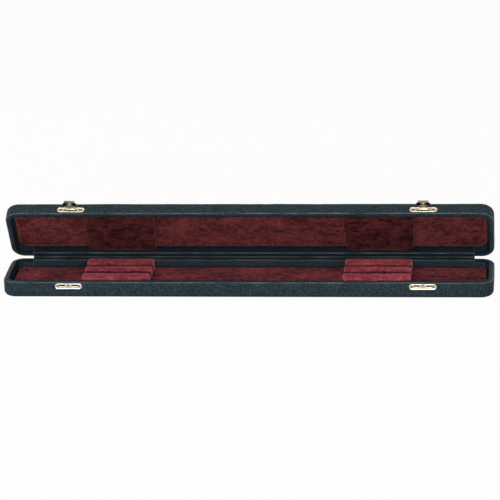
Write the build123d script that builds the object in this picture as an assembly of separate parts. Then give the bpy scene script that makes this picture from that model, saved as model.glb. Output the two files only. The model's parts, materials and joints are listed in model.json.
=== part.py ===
from build123d import *
import math
import os

os.makedirs("parts", exist_ok=True)

# A long, flat case for two conductor's batons, modelled with its lid standing open.
# Frame: X along the case, +Y towards the hinge, +Z up. The origin is the middle of the
# base's underside. Lengths are millimetres and angles are degrees.

# Outside of the closed case
case_length = 457.6
case_depth = 61.0
base_height = 15.7
lid_height = 13.9
corner_radius = 12.2  # upright corners, seen in plan
edge_round = 3.6  # long outer edges of the underside and the top
rim_round = 2.0  # outer edge of each rim
rim_inner_round = 1.0
seam_gap = 0.6  # between the closed rims, filled at the back by the doubled hinge strip

# Wall and floor build-up
cover_thickness = 0.8  # leatherette
rail_thickness = 4.0
base_board_thickness = 3.0
base_card_thickness = 1.5
base_velvet_thickness = 3.0
lid_board_thickness = 2.0
lid_card_thickness = 0.8
lid_velvet_thickness = 2.0
panel_end_gap = 2.1  # from the lining panels to the end walls
panel_side_gap = 0.5  # from the lining panels and pads to the long walls

# Hinge
strip_thickness = 0.28
strip_left_inset = 20.4  # from the left end of the case to the strip's end
strip_right_inset = 18.6
hinge_standoff = 0.35  # from the back face out to the fold line
strip_end_clearance = 0.02  # from the folded bead to the leaves
lid_open_angle = 63.3  # from closed to the modelled pose

# Baton holders and lid pads
holder_length = 63.2
holder_left_inset = 105.8  # from the left end of the case to the holder's middle
holder_right_inset = 108.0  # from the right end of the case to the holder's middle
holder_rise = 2.4  # crown above the rim
holder_cover = 0.8  # velvet over the foam core
groove_width = 4.8
groove_floor = 4.0  # from the velvet floor up to the bottom of a groove
ridge_round = 3.3
holder_edge_round = 3.0
pad_front_length = 68.6
pad_hinge_length = 63.6
pad_shift = 1.2  # to the right of the holder below it
pad_recess = 2.2  # from the lid's rim down to the pad's face
pad_edge_round = 2.4

# Latches
latch_left_inset = 63.0  # from the left end of the case to the latch's middle
latch_right_inset = 64.9  # from the right end of the case to the latch's middle
plate_thickness = 0.6
lid_plate_length = 26.0
lid_plate_height = 5.8
lid_plate_rise = 1.4  # from the lid's rim up to the plate
keeper_length = 25.4
keeper_height = 5.6
keeper_drop = 1.3  # from the base's rim down to the keeper
slot_length = 6.0
slot_height = 0.9
slot_offset = 6.0  # from the keeper's middle to the middle of each slot
slot_rise = 1.3  # above the keeper's middle line
nose_radius = 0.9
nose_reach = 2.2  # out of the keeper's face
nose_round = 0.4
nose_drop = 3.1  # from the base's rim down to the nose
pivot_rise = 3.8  # from the lid's rim up to the hasp's pin
pin_radius = 0.4
pin_clearance = 0.05
knuckle_radius = 0.9
knuckle_gap = 0.15  # from the hasp's barrel to the plate
knuckle_length = 1.5
knuckle_side_gap = 0.2
hasp_root_width = 9.0
hasp_neck_width = 7.0
hasp_head_width = 12.4
hasp_neck_at = 3.3  # from the pin down to the neck
hasp_tail = 2.9  # from the window's middle down to the rolled lip
hasp_thickness = 0.6
window_clearance = 0.4
window_collar_width = 1.4
window_collar_height = 0.25
lip_radius = 0.85
hasp_open_angle = 84.0  # from hanging on the keeper to the modelled pose
nail_inset = 2.7  # from the end of a plate to its nail
nail_head_radius = 0.95
nail_head_height = 0.4
nail_shank_radius = 0.5
nail_bite = 2.8  # depth in the wooden rail
nail_clearance = 0.02

# Worked out from the sizes above
half_length = case_length / 2
half_depth = case_depth / 2
wall = cover_thickness + rail_thickness + cover_thickness
rail_middle = half_length - corner_radius
base_board_top = cover_thickness + base_board_thickness
base_card_top = base_board_top + base_card_thickness
base_floor = base_card_top + base_velvet_thickness
lid_board_top = cover_thickness + lid_board_thickness
lid_card_top = lid_board_top + lid_card_thickness
lid_floor = lid_card_top + lid_velvet_thickness
lid_rim = base_height + seam_gap
lid_top = lid_rim + lid_height
hinge_y = half_depth + hinge_standoff
hinge_z = base_height + seam_gap / 2
strip_length = case_length - strip_left_inset - strip_right_inset
strip_x = (strip_left_inset - strip_right_inset) / 2
front = -half_depth
keeper_z = base_height - keeper_drop - keeper_height / 2
lid_plate_z = lid_rim + lid_plate_rise + lid_plate_height / 2
pivot_y = front - plate_thickness - knuckle_gap - knuckle_radius
pivot_z = lid_rim + pivot_rise
nose_z = base_height - nose_drop
window_at = pivot_z - nose_z
holder_x = {"left": holder_left_inset - half_length, "right": half_length - holder_right_inset}
latch_x = {"left": latch_left_inset - half_length, "right": half_length - latch_right_inset}


def plan(inset):
    """The case's outline seen from above, drawn in by inset on every side."""
    return RectangleRounded(
        case_length - 2 * inset, case_depth - 2 * inset, corner_radius - inset
    )


def prism(inset, low, high):
    """An upright block on that outline, between two heights."""
    return extrude(Pos(0, 0, low) * plan(inset), high - low)


def rounded_prism(inset, low, high, low_round, high_round):
    """A block on that outline with its lower and upper edges rounded."""
    solid = prism(inset, low, high)
    solid = fillet(solid.edges().group_by(Axis.Z)[0], low_round)
    return fillet(solid.edges().group_by(Axis.Z)[-1], high_round)


def inset_of(point):
    """How far inside the case's outline a point lies."""
    over_x = max(abs(point.X) - (half_length - corner_radius), 0)
    over_y = max(abs(point.Y) - (half_depth - corner_radius), 0)
    return corner_radius - math.hypot(over_x, over_y)


def between(solid, low, high):
    """The part of a solid between two heights."""
    slab = Box(2 * case_length, 2 * case_depth, high - low)
    return solid & Pos(0, 0, (low + high) / 2) * slab


def round_inner_rim(ring, rim):
    """Rounds the inner edge of a ring's top face."""
    top = ring.edges().filter_by_position(Axis.Z, rim - 0.001, rim + 0.001)
    inner = top.filter_by(lambda edge: abs(inset_of(edge @ 0.5) - wall) < 0.01)
    return fillet(inner, rim_inner_round)


def tray(height, board_thickness):
    """One half of the case as a tray with its hollow upwards and its outer face at height 0."""
    board_top = cover_thickness + board_thickness
    wood_round = edge_round - cover_thickness
    outside = rounded_prism(0, 0, height, edge_round, rim_round)
    wood = rounded_prism(
        cover_thickness, cover_thickness, height - cover_thickness,
        wood_round, rim_round - cover_thickness,
    )
    board = between(wood, 0, board_top)
    frame = between(wood, board_top, height) - prism(wall - cover_thickness, 0, height)
    sheet = between(outside, 0, edge_round) - wood
    ring = between(outside, edge_round, height) - prism(wall, 0, 2 * height)
    side = round_inner_rim(ring, height) - frame - board
    long_box = Box(2 * rail_middle, case_depth, 2 * height)
    end_box = Box(corner_radius, 2 * case_depth, 2 * height)
    end_at = rail_middle + corner_radius / 2
    return {
        "board": board,
        "face_cover": sheet,
        "side_cover": side,
        "front_rail": frame & Pos(0, -half_depth, 0) * long_box,
        "back_rail": frame & Pos(0, half_depth, 0) * long_box,
        "left_end": frame & Pos(-end_at, 0, 0) * end_box,
        "right_end": frame & Pos(end_at, 0, 0) * end_box,
    }


def lining_panel(low, high):
    """A flat panel that fills the floor of a tray between its walls."""
    length = case_length - 2 * (wall + panel_end_gap)
    depth = case_depth - 2 * (wall + panel_side_gap)
    corner = corner_radius - wall - panel_side_gap
    return extrude(Pos(0, 0, low) * RectangleRounded(length, depth, corner), high - low)


def upper_near_corner(profile):
    """The highest corner of a drawn profile on the side nearer to the case's middle."""
    return profile.vertices().group_by(Axis.Y)[-1].sort_by(Axis.X)[:1]


def strip_leaf(drop):
    """The part of the hinge strip glued to one back wall, with that wall's rim at height 0."""
    inner_wall = half_depth - wall
    end = hinge_y - strip_thickness - strip_end_clearance
    outer_wall = inner_wall - strip_thickness
    outer = Polygon(
        (outer_wall, strip_thickness), (end, strip_thickness), (end, -drop), (outer_wall, -drop),
        align=None,
    )
    outer = fillet(upper_near_corner(outer), rim_inner_round + strip_thickness)
    under = Polygon((inner_wall, 0), (2 * end, 0), (2 * end, -2 * drop), (inner_wall, -2 * drop),
                    align=None)
    under = fillet(upper_near_corner(under), rim_inner_round)
    return Pos(strip_x, 0, 0) * extrude(Plane.YZ * (outer - under), strip_length / 2, both=True)


def holder_profile(inset):
    """Three rounded ridges and two grooves seen along the case, drawn in by inset."""
    half_width = half_depth - wall - panel_side_gap - inset
    top = base_height + holder_rise - inset
    pitch = 2 * (half_width + inset) / 3
    groove = groove_width / 2 + inset
    bottom = base_floor + groove_floor - inset
    block = Pos(0, (base_floor + top) / 2) * Rectangle(2 * half_width, top - base_floor)
    corners = block.vertices().group_by(Axis.Y)[-1]
    block = fillet(corners, holder_edge_round - inset)
    for y in (-pitch / 2, pitch / 2):
        block -= Pos(y, bottom + groove) * Circle(groove)
        block -= Pos(y, bottom + groove + top) * Rectangle(2 * groove, 2 * top)
        lips = block.vertices().filter_by_position(Axis.Y, top - 0.001, top + 0.001)
        lips = lips.filter_by(lambda v: abs(abs(v.X - y) - groove) < 0.01)
        room = top - bottom - groove - 0.1
        block = fillet(lips, min(ridge_round - inset, room))
    return block


def holder(x):
    """One baton holder: its foam core and the velvet drawn over it."""
    at = Pos(x, 0, 0)
    whole = extrude(Plane.YZ * holder_profile(0), holder_length / 2, both=True)
    core = extrude(
        Plane.YZ * holder_profile(holder_cover), holder_length / 2 - holder_cover, both=True
    )
    return at * core, at * (whole - core)


def lid_pad(x):
    """A padded block in the lid that presses on the batons, with the lid closed. It is a
    little longer at the front than at the hinge."""
    half_width = half_depth - wall - panel_side_gap
    low = lid_rim + pad_recess
    high = lid_top - lid_floor
    outline = Polygon(
        (-pad_front_length / 2, -half_width), (pad_front_length / 2, -half_width),
        (pad_hinge_length / 2, half_width), (-pad_hinge_length / 2, half_width), align=None,
    )
    pad = extrude(Pos(x, 0, low) * outline, high - low)
    pad = fillet(pad.edges().filter_by(Axis.Z), pad_edge_round)
    return fillet(pad.edges().group_by(Axis.Z)[0], pad_edge_round)


def on_front(x, z, out=0.0):
    """A drawing plane on the front face: across is X, up is Z and thickness grows outwards."""
    return Plane(origin=(x, front - out, z), x_dir=(1, 0, 0), z_dir=(0, -1, 0))


def along_x(radius, length):
    """A round bar along X about the origin."""
    return Cylinder(radius, length, rotation=(0, 90, 0))


def nail(x, z):
    """A small nail through a plate into a wooden rail."""
    shank = plate_thickness + cover_thickness + nail_bite
    head = extrude(on_front(x, z, plate_thickness) * Circle(nail_head_radius), nail_head_height)
    head = fillet(head.edges().group_by(Axis.Y)[0], nail_head_height / 2)
    return head + extrude(on_front(x, z, plate_thickness) * Circle(nail_shank_radius), -shank)


def nail_holes(x, z, plate_length):
    """The holes that the two nails of a plate need in all that they pass through."""
    depth = plate_thickness + cover_thickness + nail_bite + nail_clearance
    hole = Circle(nail_shank_radius + nail_clearance)
    return [
        extrude(on_front(x + side, z, plate_thickness) * hole, -depth)
        for side in nail_sides(plate_length)
    ]


def nail_sides(plate_length):
    """Where the two nails of a plate lie beside its middle."""
    return (-plate_length / 2 + nail_inset, plate_length / 2 - nail_inset)


def keeper(x):
    """The plate on the base with the nose that the hasp drops over."""
    plate = extrude(on_front(x, keeper_z) * SlotOverall(keeper_length, keeper_height),
                    plate_thickness)
    nose = extrude(on_front(x, nose_z, plate_thickness) * Circle(nose_radius), nose_reach)
    nose = fillet(nose.edges().group_by(Axis.Y)[0], nose_round)
    slot = extrude(on_front(x, keeper_z + slot_rise) * SlotOverall(slot_length, slot_height),
                   plate_thickness)
    for side in (-slot_offset, slot_offset):
        plate -= Pos(side, 0, 0) * slot
    plate += nose
    for hole in nail_holes(x, keeper_z, keeper_length):
        plate -= hole
    return plate


def latch_plate(x):
    """The plate on the lid with two knuckles that hold the hasp's pin."""
    plate = extrude(on_front(x, lid_plate_z) * SlotOverall(lid_plate_length, lid_plate_height),
                    plate_thickness)
    reach = abs(pivot_y - front)
    middle = hasp_root_width / 2 + knuckle_side_gap + knuckle_length / 2
    for side in (-middle, middle):
        at = Pos(x + side, pivot_y, pivot_z)
        foot = Pos(x + side, front - reach / 2, pivot_z)
        plate += at * along_x(knuckle_radius, knuckle_length)
        plate += foot * Box(knuckle_length, reach, 2 * knuckle_radius)
    plate -= Pos(x, pivot_y, pivot_z) * along_x(pin_radius, 2 * lid_plate_length)
    for hole in nail_holes(x, lid_plate_z, lid_plate_length):
        plate -= hole
    return plate


def latch_pin(x):
    """The pin through both knuckles and the hasp's barrel."""
    length = hasp_root_width + 2 * (knuckle_side_gap + knuckle_length)
    return Pos(x, pivot_y, pivot_z) * along_x(pin_radius, length)


def hasp(x):
    """The waisted hasp with its barrel, window and rolled lip, hanging down over the keeper."""
    tip = window_at + hasp_tail
    at = Plane(origin=(x, pivot_y, pivot_z), x_dir=(1, 0, 0), z_dir=(0, -1, 0))
    right = ThreePointArc(
        (hasp_root_width / 2, 0), (hasp_neck_width / 2, -hasp_neck_at), (hasp_head_width / 2, -tip)
    )
    left = ThreePointArc(
        (-hasp_head_width / 2, -tip), (-hasp_neck_width / 2, -hasp_neck_at),
        (-hasp_root_width / 2, 0),
    )
    foot = Line(right @ 1, left @ 0)
    head = Line(left @ 1, right @ 0)
    outline = make_face(Curve() + [right, foot, left, head])
    face = knuckle_radius - hasp_thickness
    sheet = extrude(at * Pos(0, 0, face) * outline, hasp_thickness)
    window = nose_radius + window_clearance
    collar = at * Pos(0, -window_at, face) * Circle(window + window_collar_width)
    sheet += extrude(collar, -window_collar_height)
    sheet += Pos(x, pivot_y, pivot_z) * along_x(knuckle_radius, hasp_root_width)
    lip = Pos(x, pivot_y - face - lip_radius, pivot_z - tip)
    sheet += lip * along_x(lip_radius, hasp_head_width)
    sheet -= Pos(x, pivot_y, pivot_z) * along_x(pin_radius + pin_clearance, 2 * hasp_head_width)
    hole = at * Pos(0, -window_at, -case_depth / 2) * Circle(window)
    return sheet - extrude(hole, case_depth)


def turned_over(solid):
    """A tray's piece turned over to lie in the closed lid."""
    return Pos(0, 0, lid_top) * mirror(solid, about=Plane.XY)


def opened(solid):
    """A piece of the closed lid, turned about the hinge to the modelled pose."""
    return solid.rotate(Axis((0, hinge_y, hinge_z), (-1, 0, 0)), lid_open_angle)


def swung_out(solid):
    """A hasp turned about its pin from the keeper to the modelled pose."""
    return solid.rotate(Axis((0, pivot_y, pivot_z), (-1, 0, 0)), hasp_open_angle)


def pierced(solid, z, plate_length):
    """A cover or rail with the nail holes of both plates."""
    for x in latch_x.values():
        for hole in nail_holes(x, z, plate_length):
            solid -= hole
    return solid


def base_nodes():
    """Every piece of the base."""
    nodes = {f"base_{name}": solid for name, solid in tray(base_height, base_board_thickness).items()}
    for name in ("base_side_cover", "base_front_rail"):
        nodes[name] = pierced(nodes[name], keeper_z, keeper_length)
    nodes["base_floor_card"] = lining_panel(base_board_top, base_card_top)
    nodes["base_velvet_floor"] = lining_panel(base_card_top, base_floor)
    for side, x in holder_x.items():
        core, cover = holder(x)
        nodes[f"baton_holder_core_{side}"] = core
        nodes[f"baton_holder_velvet_{side}"] = cover
    for side, x in latch_x.items():
        nodes[f"keeper_plate_{side}"] = keeper(x)
    nodes["keeper_nails"] = Compound([
        nail(x + side, keeper_z) for x in latch_x.values() for side in nail_sides(keeper_length)
    ])
    nodes["hinge_strip_base_leaf"] = Pos(0, 0, base_height) * strip_leaf(base_height - base_floor)
    nodes["hinge_strip_fold"] = Pos(strip_x, hinge_y, hinge_z) * along_x(strip_thickness, strip_length)
    return nodes


def lid_nodes():
    """Every piece of the lid, closed."""
    pieces = tray(lid_height, lid_board_thickness)
    nodes = {f"lid_{name}": turned_over(solid) for name, solid in pieces.items()}
    for name in ("lid_side_cover", "lid_front_rail"):
        nodes[name] = pierced(nodes[name], lid_plate_z, lid_plate_length)
    nodes["lid_lining_card"] = turned_over(lining_panel(lid_board_top, lid_card_top))
    nodes["lid_velvet_lining"] = turned_over(lining_panel(lid_card_top, lid_floor))
    for side, x in holder_x.items():
        nodes[f"lid_pad_{side}"] = lid_pad(x + pad_shift)
    for side, x in latch_x.items():
        nodes[f"latch_plate_{side}"] = latch_plate(x)
    nodes["latch_pins"] = Compound([latch_pin(x) for x in latch_x.values()])
    nodes["latch_nails"] = Compound([
        nail(x + side, lid_plate_z) for x in latch_x.values() for side in nail_sides(lid_plate_length)
    ])
    leaf = mirror(strip_leaf(lid_height - lid_floor), about=Plane.XY)
    nodes["hinge_strip_lid_leaf"] = Pos(0, 0, lid_rim) * leaf
    return nodes


def hasp_nodes():
    """Both hasps, swung out from the closed lid."""
    return {f"latch_hasp_{side}": swung_out(hasp(x)) for side, x in latch_x.items()}


nodes = base_nodes()
for name, solid in {**lid_nodes(), **hasp_nodes()}.items():
    nodes[name] = opened(solid)
for name, solid in nodes.items():
    export_step(solid, f"parts/{name}.step")
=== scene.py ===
# %% [markdown]
# A slim case for two conductor's batons, standing open on a white table. The solids
# come packed from the CAD program, so every place and size is already settled. This
# script only dresses them: it lays leatherette, velvet and brass where the solids say,
# and it never moves a solid. Blender works in metres, and the sizes below are in
# millimetres, because that is how a case maker would write them down.

import json
import math

import bmesh
import bpy
import numpy as np
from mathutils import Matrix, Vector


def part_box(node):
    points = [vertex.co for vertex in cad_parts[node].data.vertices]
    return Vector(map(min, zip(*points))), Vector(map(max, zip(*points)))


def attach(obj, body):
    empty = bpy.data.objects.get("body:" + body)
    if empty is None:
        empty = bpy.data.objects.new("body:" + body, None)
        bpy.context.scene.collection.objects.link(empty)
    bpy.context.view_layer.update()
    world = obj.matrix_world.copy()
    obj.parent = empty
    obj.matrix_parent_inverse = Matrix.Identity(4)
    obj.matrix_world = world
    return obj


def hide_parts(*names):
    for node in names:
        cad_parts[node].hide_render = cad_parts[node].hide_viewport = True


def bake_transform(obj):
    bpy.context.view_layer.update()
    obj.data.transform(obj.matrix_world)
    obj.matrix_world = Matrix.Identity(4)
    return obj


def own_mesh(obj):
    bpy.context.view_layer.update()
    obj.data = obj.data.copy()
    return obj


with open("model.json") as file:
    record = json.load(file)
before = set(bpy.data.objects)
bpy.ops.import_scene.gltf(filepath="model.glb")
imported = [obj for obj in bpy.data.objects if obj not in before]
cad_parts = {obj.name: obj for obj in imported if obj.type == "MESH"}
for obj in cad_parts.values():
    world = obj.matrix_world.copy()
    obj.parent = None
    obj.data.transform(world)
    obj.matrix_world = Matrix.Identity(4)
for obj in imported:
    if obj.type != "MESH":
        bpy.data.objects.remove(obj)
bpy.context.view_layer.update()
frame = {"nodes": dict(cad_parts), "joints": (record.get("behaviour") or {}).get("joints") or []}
nodes = frame["nodes"]
MM = 0.001

# %% [markdown]
# The photograph was taken with a long lens, from a little above and a little to the
# right of the middle. A camera can be placed by eye, but a few known corners of the
# case, set against their pixels, give its place by least squares. The numbers here
# come from such a fit. The small roll is part of it, because the case stands slightly
# askew in the picture.

# %% Place the camera
AIM = np.array([2.168, -0.002, 35.816])
AIM_DISTANCE = 2616.46
ELEVATION, SIDEWAYS, ROLL = np.radians([21.714, 6.374, -2.329])
LENS = 202.13

back = np.array([
    math.sin(SIDEWAYS) * math.cos(ELEVATION),
    -math.cos(SIDEWAYS) * math.cos(ELEVATION),
    math.sin(ELEVATION),
])
level = np.array([math.cos(SIDEWAYS), math.sin(SIDEWAYS), 0.0])
upright = np.cross(back, level)
right = math.cos(ROLL) * level + math.sin(ROLL) * upright
top = math.cos(ROLL) * upright - math.sin(ROLL) * level

camera = bpy.data.objects.new("camera", bpy.data.cameras.new("camera"))
bpy.context.collection.objects.link(camera)
matrix = np.eye(4)
matrix[:3, 0], matrix[:3, 1], matrix[:3, 2] = right, top, back
matrix[:3, 3] = (AIM + back * AIM_DISTANCE) * MM
camera.matrix_world = matrix.T
camera.data.lens = LENS
camera.data.clip_start, camera.data.clip_end = 0.1, 20.0
bpy.context.scene.camera = camera
print("camera at", np.round(matrix[:3, 3], 3), "m")

# %% [markdown]
# Both halves of the case are the same kind of tray, so their sizes are kept together.
# A tray is described with its hollow upwards and its outer face at height 0. The lid is
# such a tray turned over and then swung open about the hinge. Whatever the packed
# solids can tell is measured from their boxes, so that the dressing always fits them,
# and only the rounds and the lid's own heights are written down again.

# %% Sizes of the case
def span(name):
    """The lowest and highest corner of a solid, in millimetres."""
    low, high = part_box(name)
    return np.array(low) / MM, np.array(high) / MM


def middle_x(name):
    """Where a solid lies along the case."""
    low, high = span(name)
    return (low[0] + high[0]) / 2


def joint(name):
    """A joint of the frame, by its name."""
    return next(one for one in frame["joints"] if one["name"] == name)


def rest_opening(name):
    """How far a joint stands open at rest, in radians: its lower limit, turned round."""
    return -math.radians(joint(name)["range_deg"][0])


SIDES = ("left", "right")
low, high = span("base_side_cover")
CASE = dict(length=high[0] - low[0], depth=high[1] - low[1], corner=12.2)
BASE = dict(height=high[2], board=span("base_board")[1][2],
            card=span("base_floor_card")[1][2], floor=span("base_velvet_floor")[1][2])
LID = dict(height=13.9, board=2.8, card=3.6, floor=5.6)
WALL, COVER = 5.6, 0.8
EDGE_ROUND, RIM_ROUND, RIM_INNER_ROUND = 3.6, 2.0, 1.0
low, high = span("base_velvet_floor")
PANEL = dict(length=high[0] - low[0], depth=high[1] - low[1], corner=6.1)
FRONT = -CASE["depth"] / 2
LID_RIM = BASE["height"] + 0.6
LID_TOP = LID_RIM + LID["height"]
HINGE_Y, HINGE_Z = np.array(joint("lid_hinge")["pos_m"][1:]) / MM
LID_OPEN = rest_opening("lid_hinge")
HOLDER_X = {side: middle_x(f"baton_holder_velvet_{side}") for side in SIDES}
PAD_X = {side: middle_x(f"lid_pad_{side}") for side in SIDES}
LATCH_X = {side: middle_x(f"keeper_plate_{side}") for side in SIDES}


def turned_over(points):
    """A lid tray's points with the tray turned over on the base: height = top - height."""
    return points * (1, 1, -1) + (0, 0, LID_TOP)


def turned(points, axis, angle):
    """Points turned about a line along X through axis, so that a lid's front rises:
    y' = y cos + z sin and z' = z cos - y sin, both measured from the line."""
    y, z = points[..., 1] - axis[0], points[..., 2] - axis[1]
    cos, sin = math.cos(angle), math.sin(angle)
    return np.stack([points[..., 0], axis[0] + y * cos + z * sin, axis[1] + z * cos - y * sin], -1)


def opened(points):
    """The closed lid's points turned about the hinge line by the opening angle."""
    return turned(points, (HINGE_Y, HINGE_Z), LID_OPEN)


def in_the_lid(points):
    """A lid tray's points, turned over and then opened."""
    return opened(turned_over(points))


print("closed case", [round(float(v), 1) for v in (CASE["length"], CASE["depth"], LID_TOP)], "mm")

# %% [markdown]
# Nearly everything here is a section carried round a rounded rectangle: the cover of a
# tray, a lining panel, a pad, a brass plate. Spin and Screw make round things, and a
# curve with a bevel gives little control at the corners, so a small numpy function does
# the carrying. Each point of the plan has a normal, and a row of the section says how
# far out along it the row lies, how high, and how far it is drawn in to the middle
# line. The last share closes a flat face without a pole in its middle.

# %% Surfaces from grids
def plan_of(length, depth, corner, step):
    """Points round a rounded rectangle, anticlockwise: the corner centre or line each
    normal starts from, the unit normal, and the point of the middle line below it."""
    half = np.array([length / 2 - corner, depth / 2 - corner])
    signs = np.array([(1, 1), (-1, 1), (-1, -1), (1, -1)])
    quarter = np.linspace(0, np.pi / 2, max(5, round(corner * np.pi / 1.4 / step)))
    starts, normals = [], []
    for turn, sign in enumerate(signs):
        angle = turn * np.pi / 2 + quarter
        starts.append(np.repeat([sign * half], len(angle), 0))
        normals.append(np.stack([np.cos(angle), np.sin(angle)], 1))
        here, there = sign * half, signs[(turn + 1) % 4] * half
        count = max(2, round(np.abs(there - here).sum() / step))
        run = np.linspace(here, there, count + 1)[1:-1]
        starts.append(run)
        normals.append(np.repeat(normals[-1][-1:], len(run), 0))
    starts, normals = np.concatenate(starts), np.concatenate(normals)
    reach = (length - depth) / 2
    middle = np.stack([np.clip((starts + normals * corner)[:, 0], -reach, reach),
                       np.zeros(len(starts))], 1)
    return starts, normals, middle


def carried_round(plan, section):
    """A grid of points: each row of the section is (out, height, drawn in), and the
    point is (start + normal * out) mixed with the middle line by the last share."""
    starts, normals, middle = plan
    out, height, drawn = (np.array(section, float).T)[:, :, None, None]
    ring = (starts + normals * out) * (1 - drawn) + middle * drawn
    return np.concatenate([ring, np.broadcast_to(height, ring.shape[:2] + (1,))], 2)


def arc(centre, radius, start, end, count):
    """Points on a circle in the section, from one angle to another in degrees."""
    angle = np.radians(np.linspace(start, end, count))
    return np.stack([centre[0] + radius * np.cos(angle),
                     centre[1] + radius * np.sin(angle)], 1)


def line(start, end, step):
    """Points on a straight run of the section, the first left out."""
    start, end = np.array(start, float), np.array(end, float)
    count = max(1, round(np.linalg.norm(end - start) / step))
    return np.linspace(start, end, count + 1)[1:]


print("plan of the case has", len(plan_of(**CASE, step=1.5)[0]), "points")

# %% [markdown]
# Nothing on a used case is quite even. A few more functions on the same grids give it
# that: the normal at each point, slow chance waves to move points along it, an even step
# and a soft ridge to say where. Rods and bands are closed lines carried along the case.

# %% Waves, ridges and bars
def outward(points):
    """The unit normal at each point of a grid whose second direction closes on itself:
    the step round crossed with the step along."""
    normal = np.cross(np.roll(points, -1, 1) - np.roll(points, 1, 1),
                      np.gradient(points, axis=0))
    return normal / (np.linalg.norm(normal, axis=-1, keepdims=True) + 1e-9)


def soft_waves(points, wavelength, seed, count=20):
    """A smooth chance height, about -1 to 1: the sum of plane waves near one length,
    each with its own direction and phase from a fixed seed."""
    chance = np.random.default_rng(seed)
    direction = chance.normal(size=(count, 3))
    direction /= np.linalg.norm(direction, axis=1, keepdims=True)
    direction /= wavelength * chance.uniform(0.7, 1.5, (count, 1))
    phase = chance.uniform(0, 2 * np.pi, count)
    return np.sin(points @ direction.T * 2 * np.pi + phase).sum(-1) / math.sqrt(2 * count)


def smooth(low, high, value):
    """0 below low, 1 above high, and an even S between."""
    share = np.clip((value - low) / (high - low), 0, 1)
    return share * share * (3 - 2 * share)


def bead(distance, width):
    """A soft ridge where the distance is 0: exp(-(distance / width)^2)."""
    return np.exp(-((distance / width) ** 2))


def bar_along(stations, loop, middle, shrink):
    """A closed line in (y, z) carried along X. At a station the loop is drawn in to its
    middle line by that station's share, and the two ends close on the middle line."""
    rings = loop[None] + (middle - loop)[None] * np.asarray(shrink)[:, None, None]
    rings = np.concatenate([middle[None], rings, middle[None]])
    x = np.concatenate([stations[:1], stations, stations[-1:]])
    return np.concatenate([np.broadcast_to(x[:, None, None], rings.shape[:2] + (1,)), rings], 2)


def round_bar(x, half, centre, radius, round_end):
    """A rod along X round a point of the side view, its ends rounded over."""
    angle = np.radians(np.linspace(0, 90, 5))
    loop = arc(centre, radius, 0, 360, 25)[:-1]
    reach = half - round_end + round_end * np.sin(angle)
    share = round_end * (1 - np.cos(angle)) / radius
    stations = x + np.concatenate([-reach[::-1], reach])
    middle = np.broadcast_to(np.array(centre, float), loop.shape)
    return bar_along(stations, loop, middle, np.concatenate([share[::-1], share]))


print("a bead falls to", round(float(bead(1.0, 1.0)), 2), "at its own width")

# %% [markdown]
# A grid becomes a mesh in one go. The faces have to look outwards, so the signed volume
# is worked out first: where it is negative, each face is listed the other way round.
# Points that meet on a middle line are merged afterwards.

# %% Meshes from grids
MERGE, SLIVER = 2e-6, 1e-7


def mesh_of(name, *grids):
    """One mesh of several closed grids in millimetres. The volume of a grid is the sum of
    corner . (corner x corner) / 6 over its triangles."""
    points, faces, first = [], [], 0
    for grid in grids:
        index = np.arange(grid[..., 0].size).reshape(grid.shape[:2])
        beside = np.roll(index, -1, 1)
        quads = np.stack([index[:-1], beside[:-1], beside[1:], index[1:]], -1).reshape(-1, 4)
        flat = grid.reshape(-1, 3)
        a, b, c, d = (flat[quads[:, k]] for k in range(4))
        volume = (a * (np.cross(b, c) + np.cross(c, d))).sum() / 6
        faces.append((quads if volume > 0 else quads[:, ::-1]) + first)
        points.append(flat)
        first += len(flat)
    mesh = bpy.data.meshes.new(name)
    mesh.from_pydata(np.concatenate(points) * MM, [], np.concatenate(faces).tolist())
    work = bmesh.new()
    work.from_mesh(mesh)
    bmesh.ops.remove_doubles(work, verts=work.verts, dist=MERGE)
    bmesh.ops.dissolve_degenerate(work, edges=work.edges, dist=SLIVER)
    work.to_mesh(mesh)
    work.free()
    mesh.polygons.foreach_set("use_smooth", np.ones(len(mesh.polygons), bool))
    mesh.update()
    return mesh


def points_of(mesh):
    """The mesh's vertices as an array in millimetres."""
    flat = np.empty(3 * len(mesh.vertices), np.float32)
    mesh.vertices.foreach_get("co", flat)
    return flat.reshape(-1, 3).astype(float) / MM


def normals_of(mesh):
    """The mesh's vertex normals as an array."""
    flat = np.empty(3 * len(mesh.vertices), np.float32)
    mesh.vertices.foreach_get("normal", flat)
    return flat.reshape(-1, 3).astype(float)


def put_points(mesh, points):
    """Moves the mesh's vertices to an array in millimetres."""
    mesh.vertices.foreach_set("co", (points * MM).astype(np.float32).ravel())
    mesh.update()


def into_the_lid(mesh, points):
    """Moves the mesh to a tray's points in the open lid. Turning a tray over turns its
    faces inwards, so they are flipped back."""
    put_points(mesh, in_the_lid(points))
    mesh.flip_normals()


print("points closer than", MERGE / MM, "mm are merged")

# %% [markdown]
# A finished mesh still has to be told what it is: which material it wears, which body of
# the case carries it, and which solids it stands for, so that those are hidden. It can
# also carry marks, one number for each vertex, and a material reads them by name.

# %% Dressing a piece
def add_object(name, mesh):
    """A new object at the origin."""
    made = bpy.data.objects.new(name, mesh)
    bpy.context.collection.objects.link(made)
    return made


def mark(mesh, name, values):
    """Stores one number for each vertex, which a material can read by name."""
    made = mesh.attributes.new(name, "FLOAT", "POINT")
    made.data.foreach_set("value", np.asarray(values, np.float32).ravel())


def dress(obj, material, body, stands_for=()):
    """Gives a piece its material, the body it moves with and the solids it stands for."""
    obj.data.materials.clear()
    obj.data.materials.append(material)
    if body:
        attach(obj, body)
    if stands_for:
        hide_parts(*stands_for)
    print(obj.name, len(obj.data.polygons), "faces")


# %% [markdown]
# A material is a small tree of nodes. Writing each one by hand takes many lines, so this
# helper adds a node, sets its options, and either fills or connects each input. Numbers
# that are the same all over go straight on the shader's own sockets.

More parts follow.
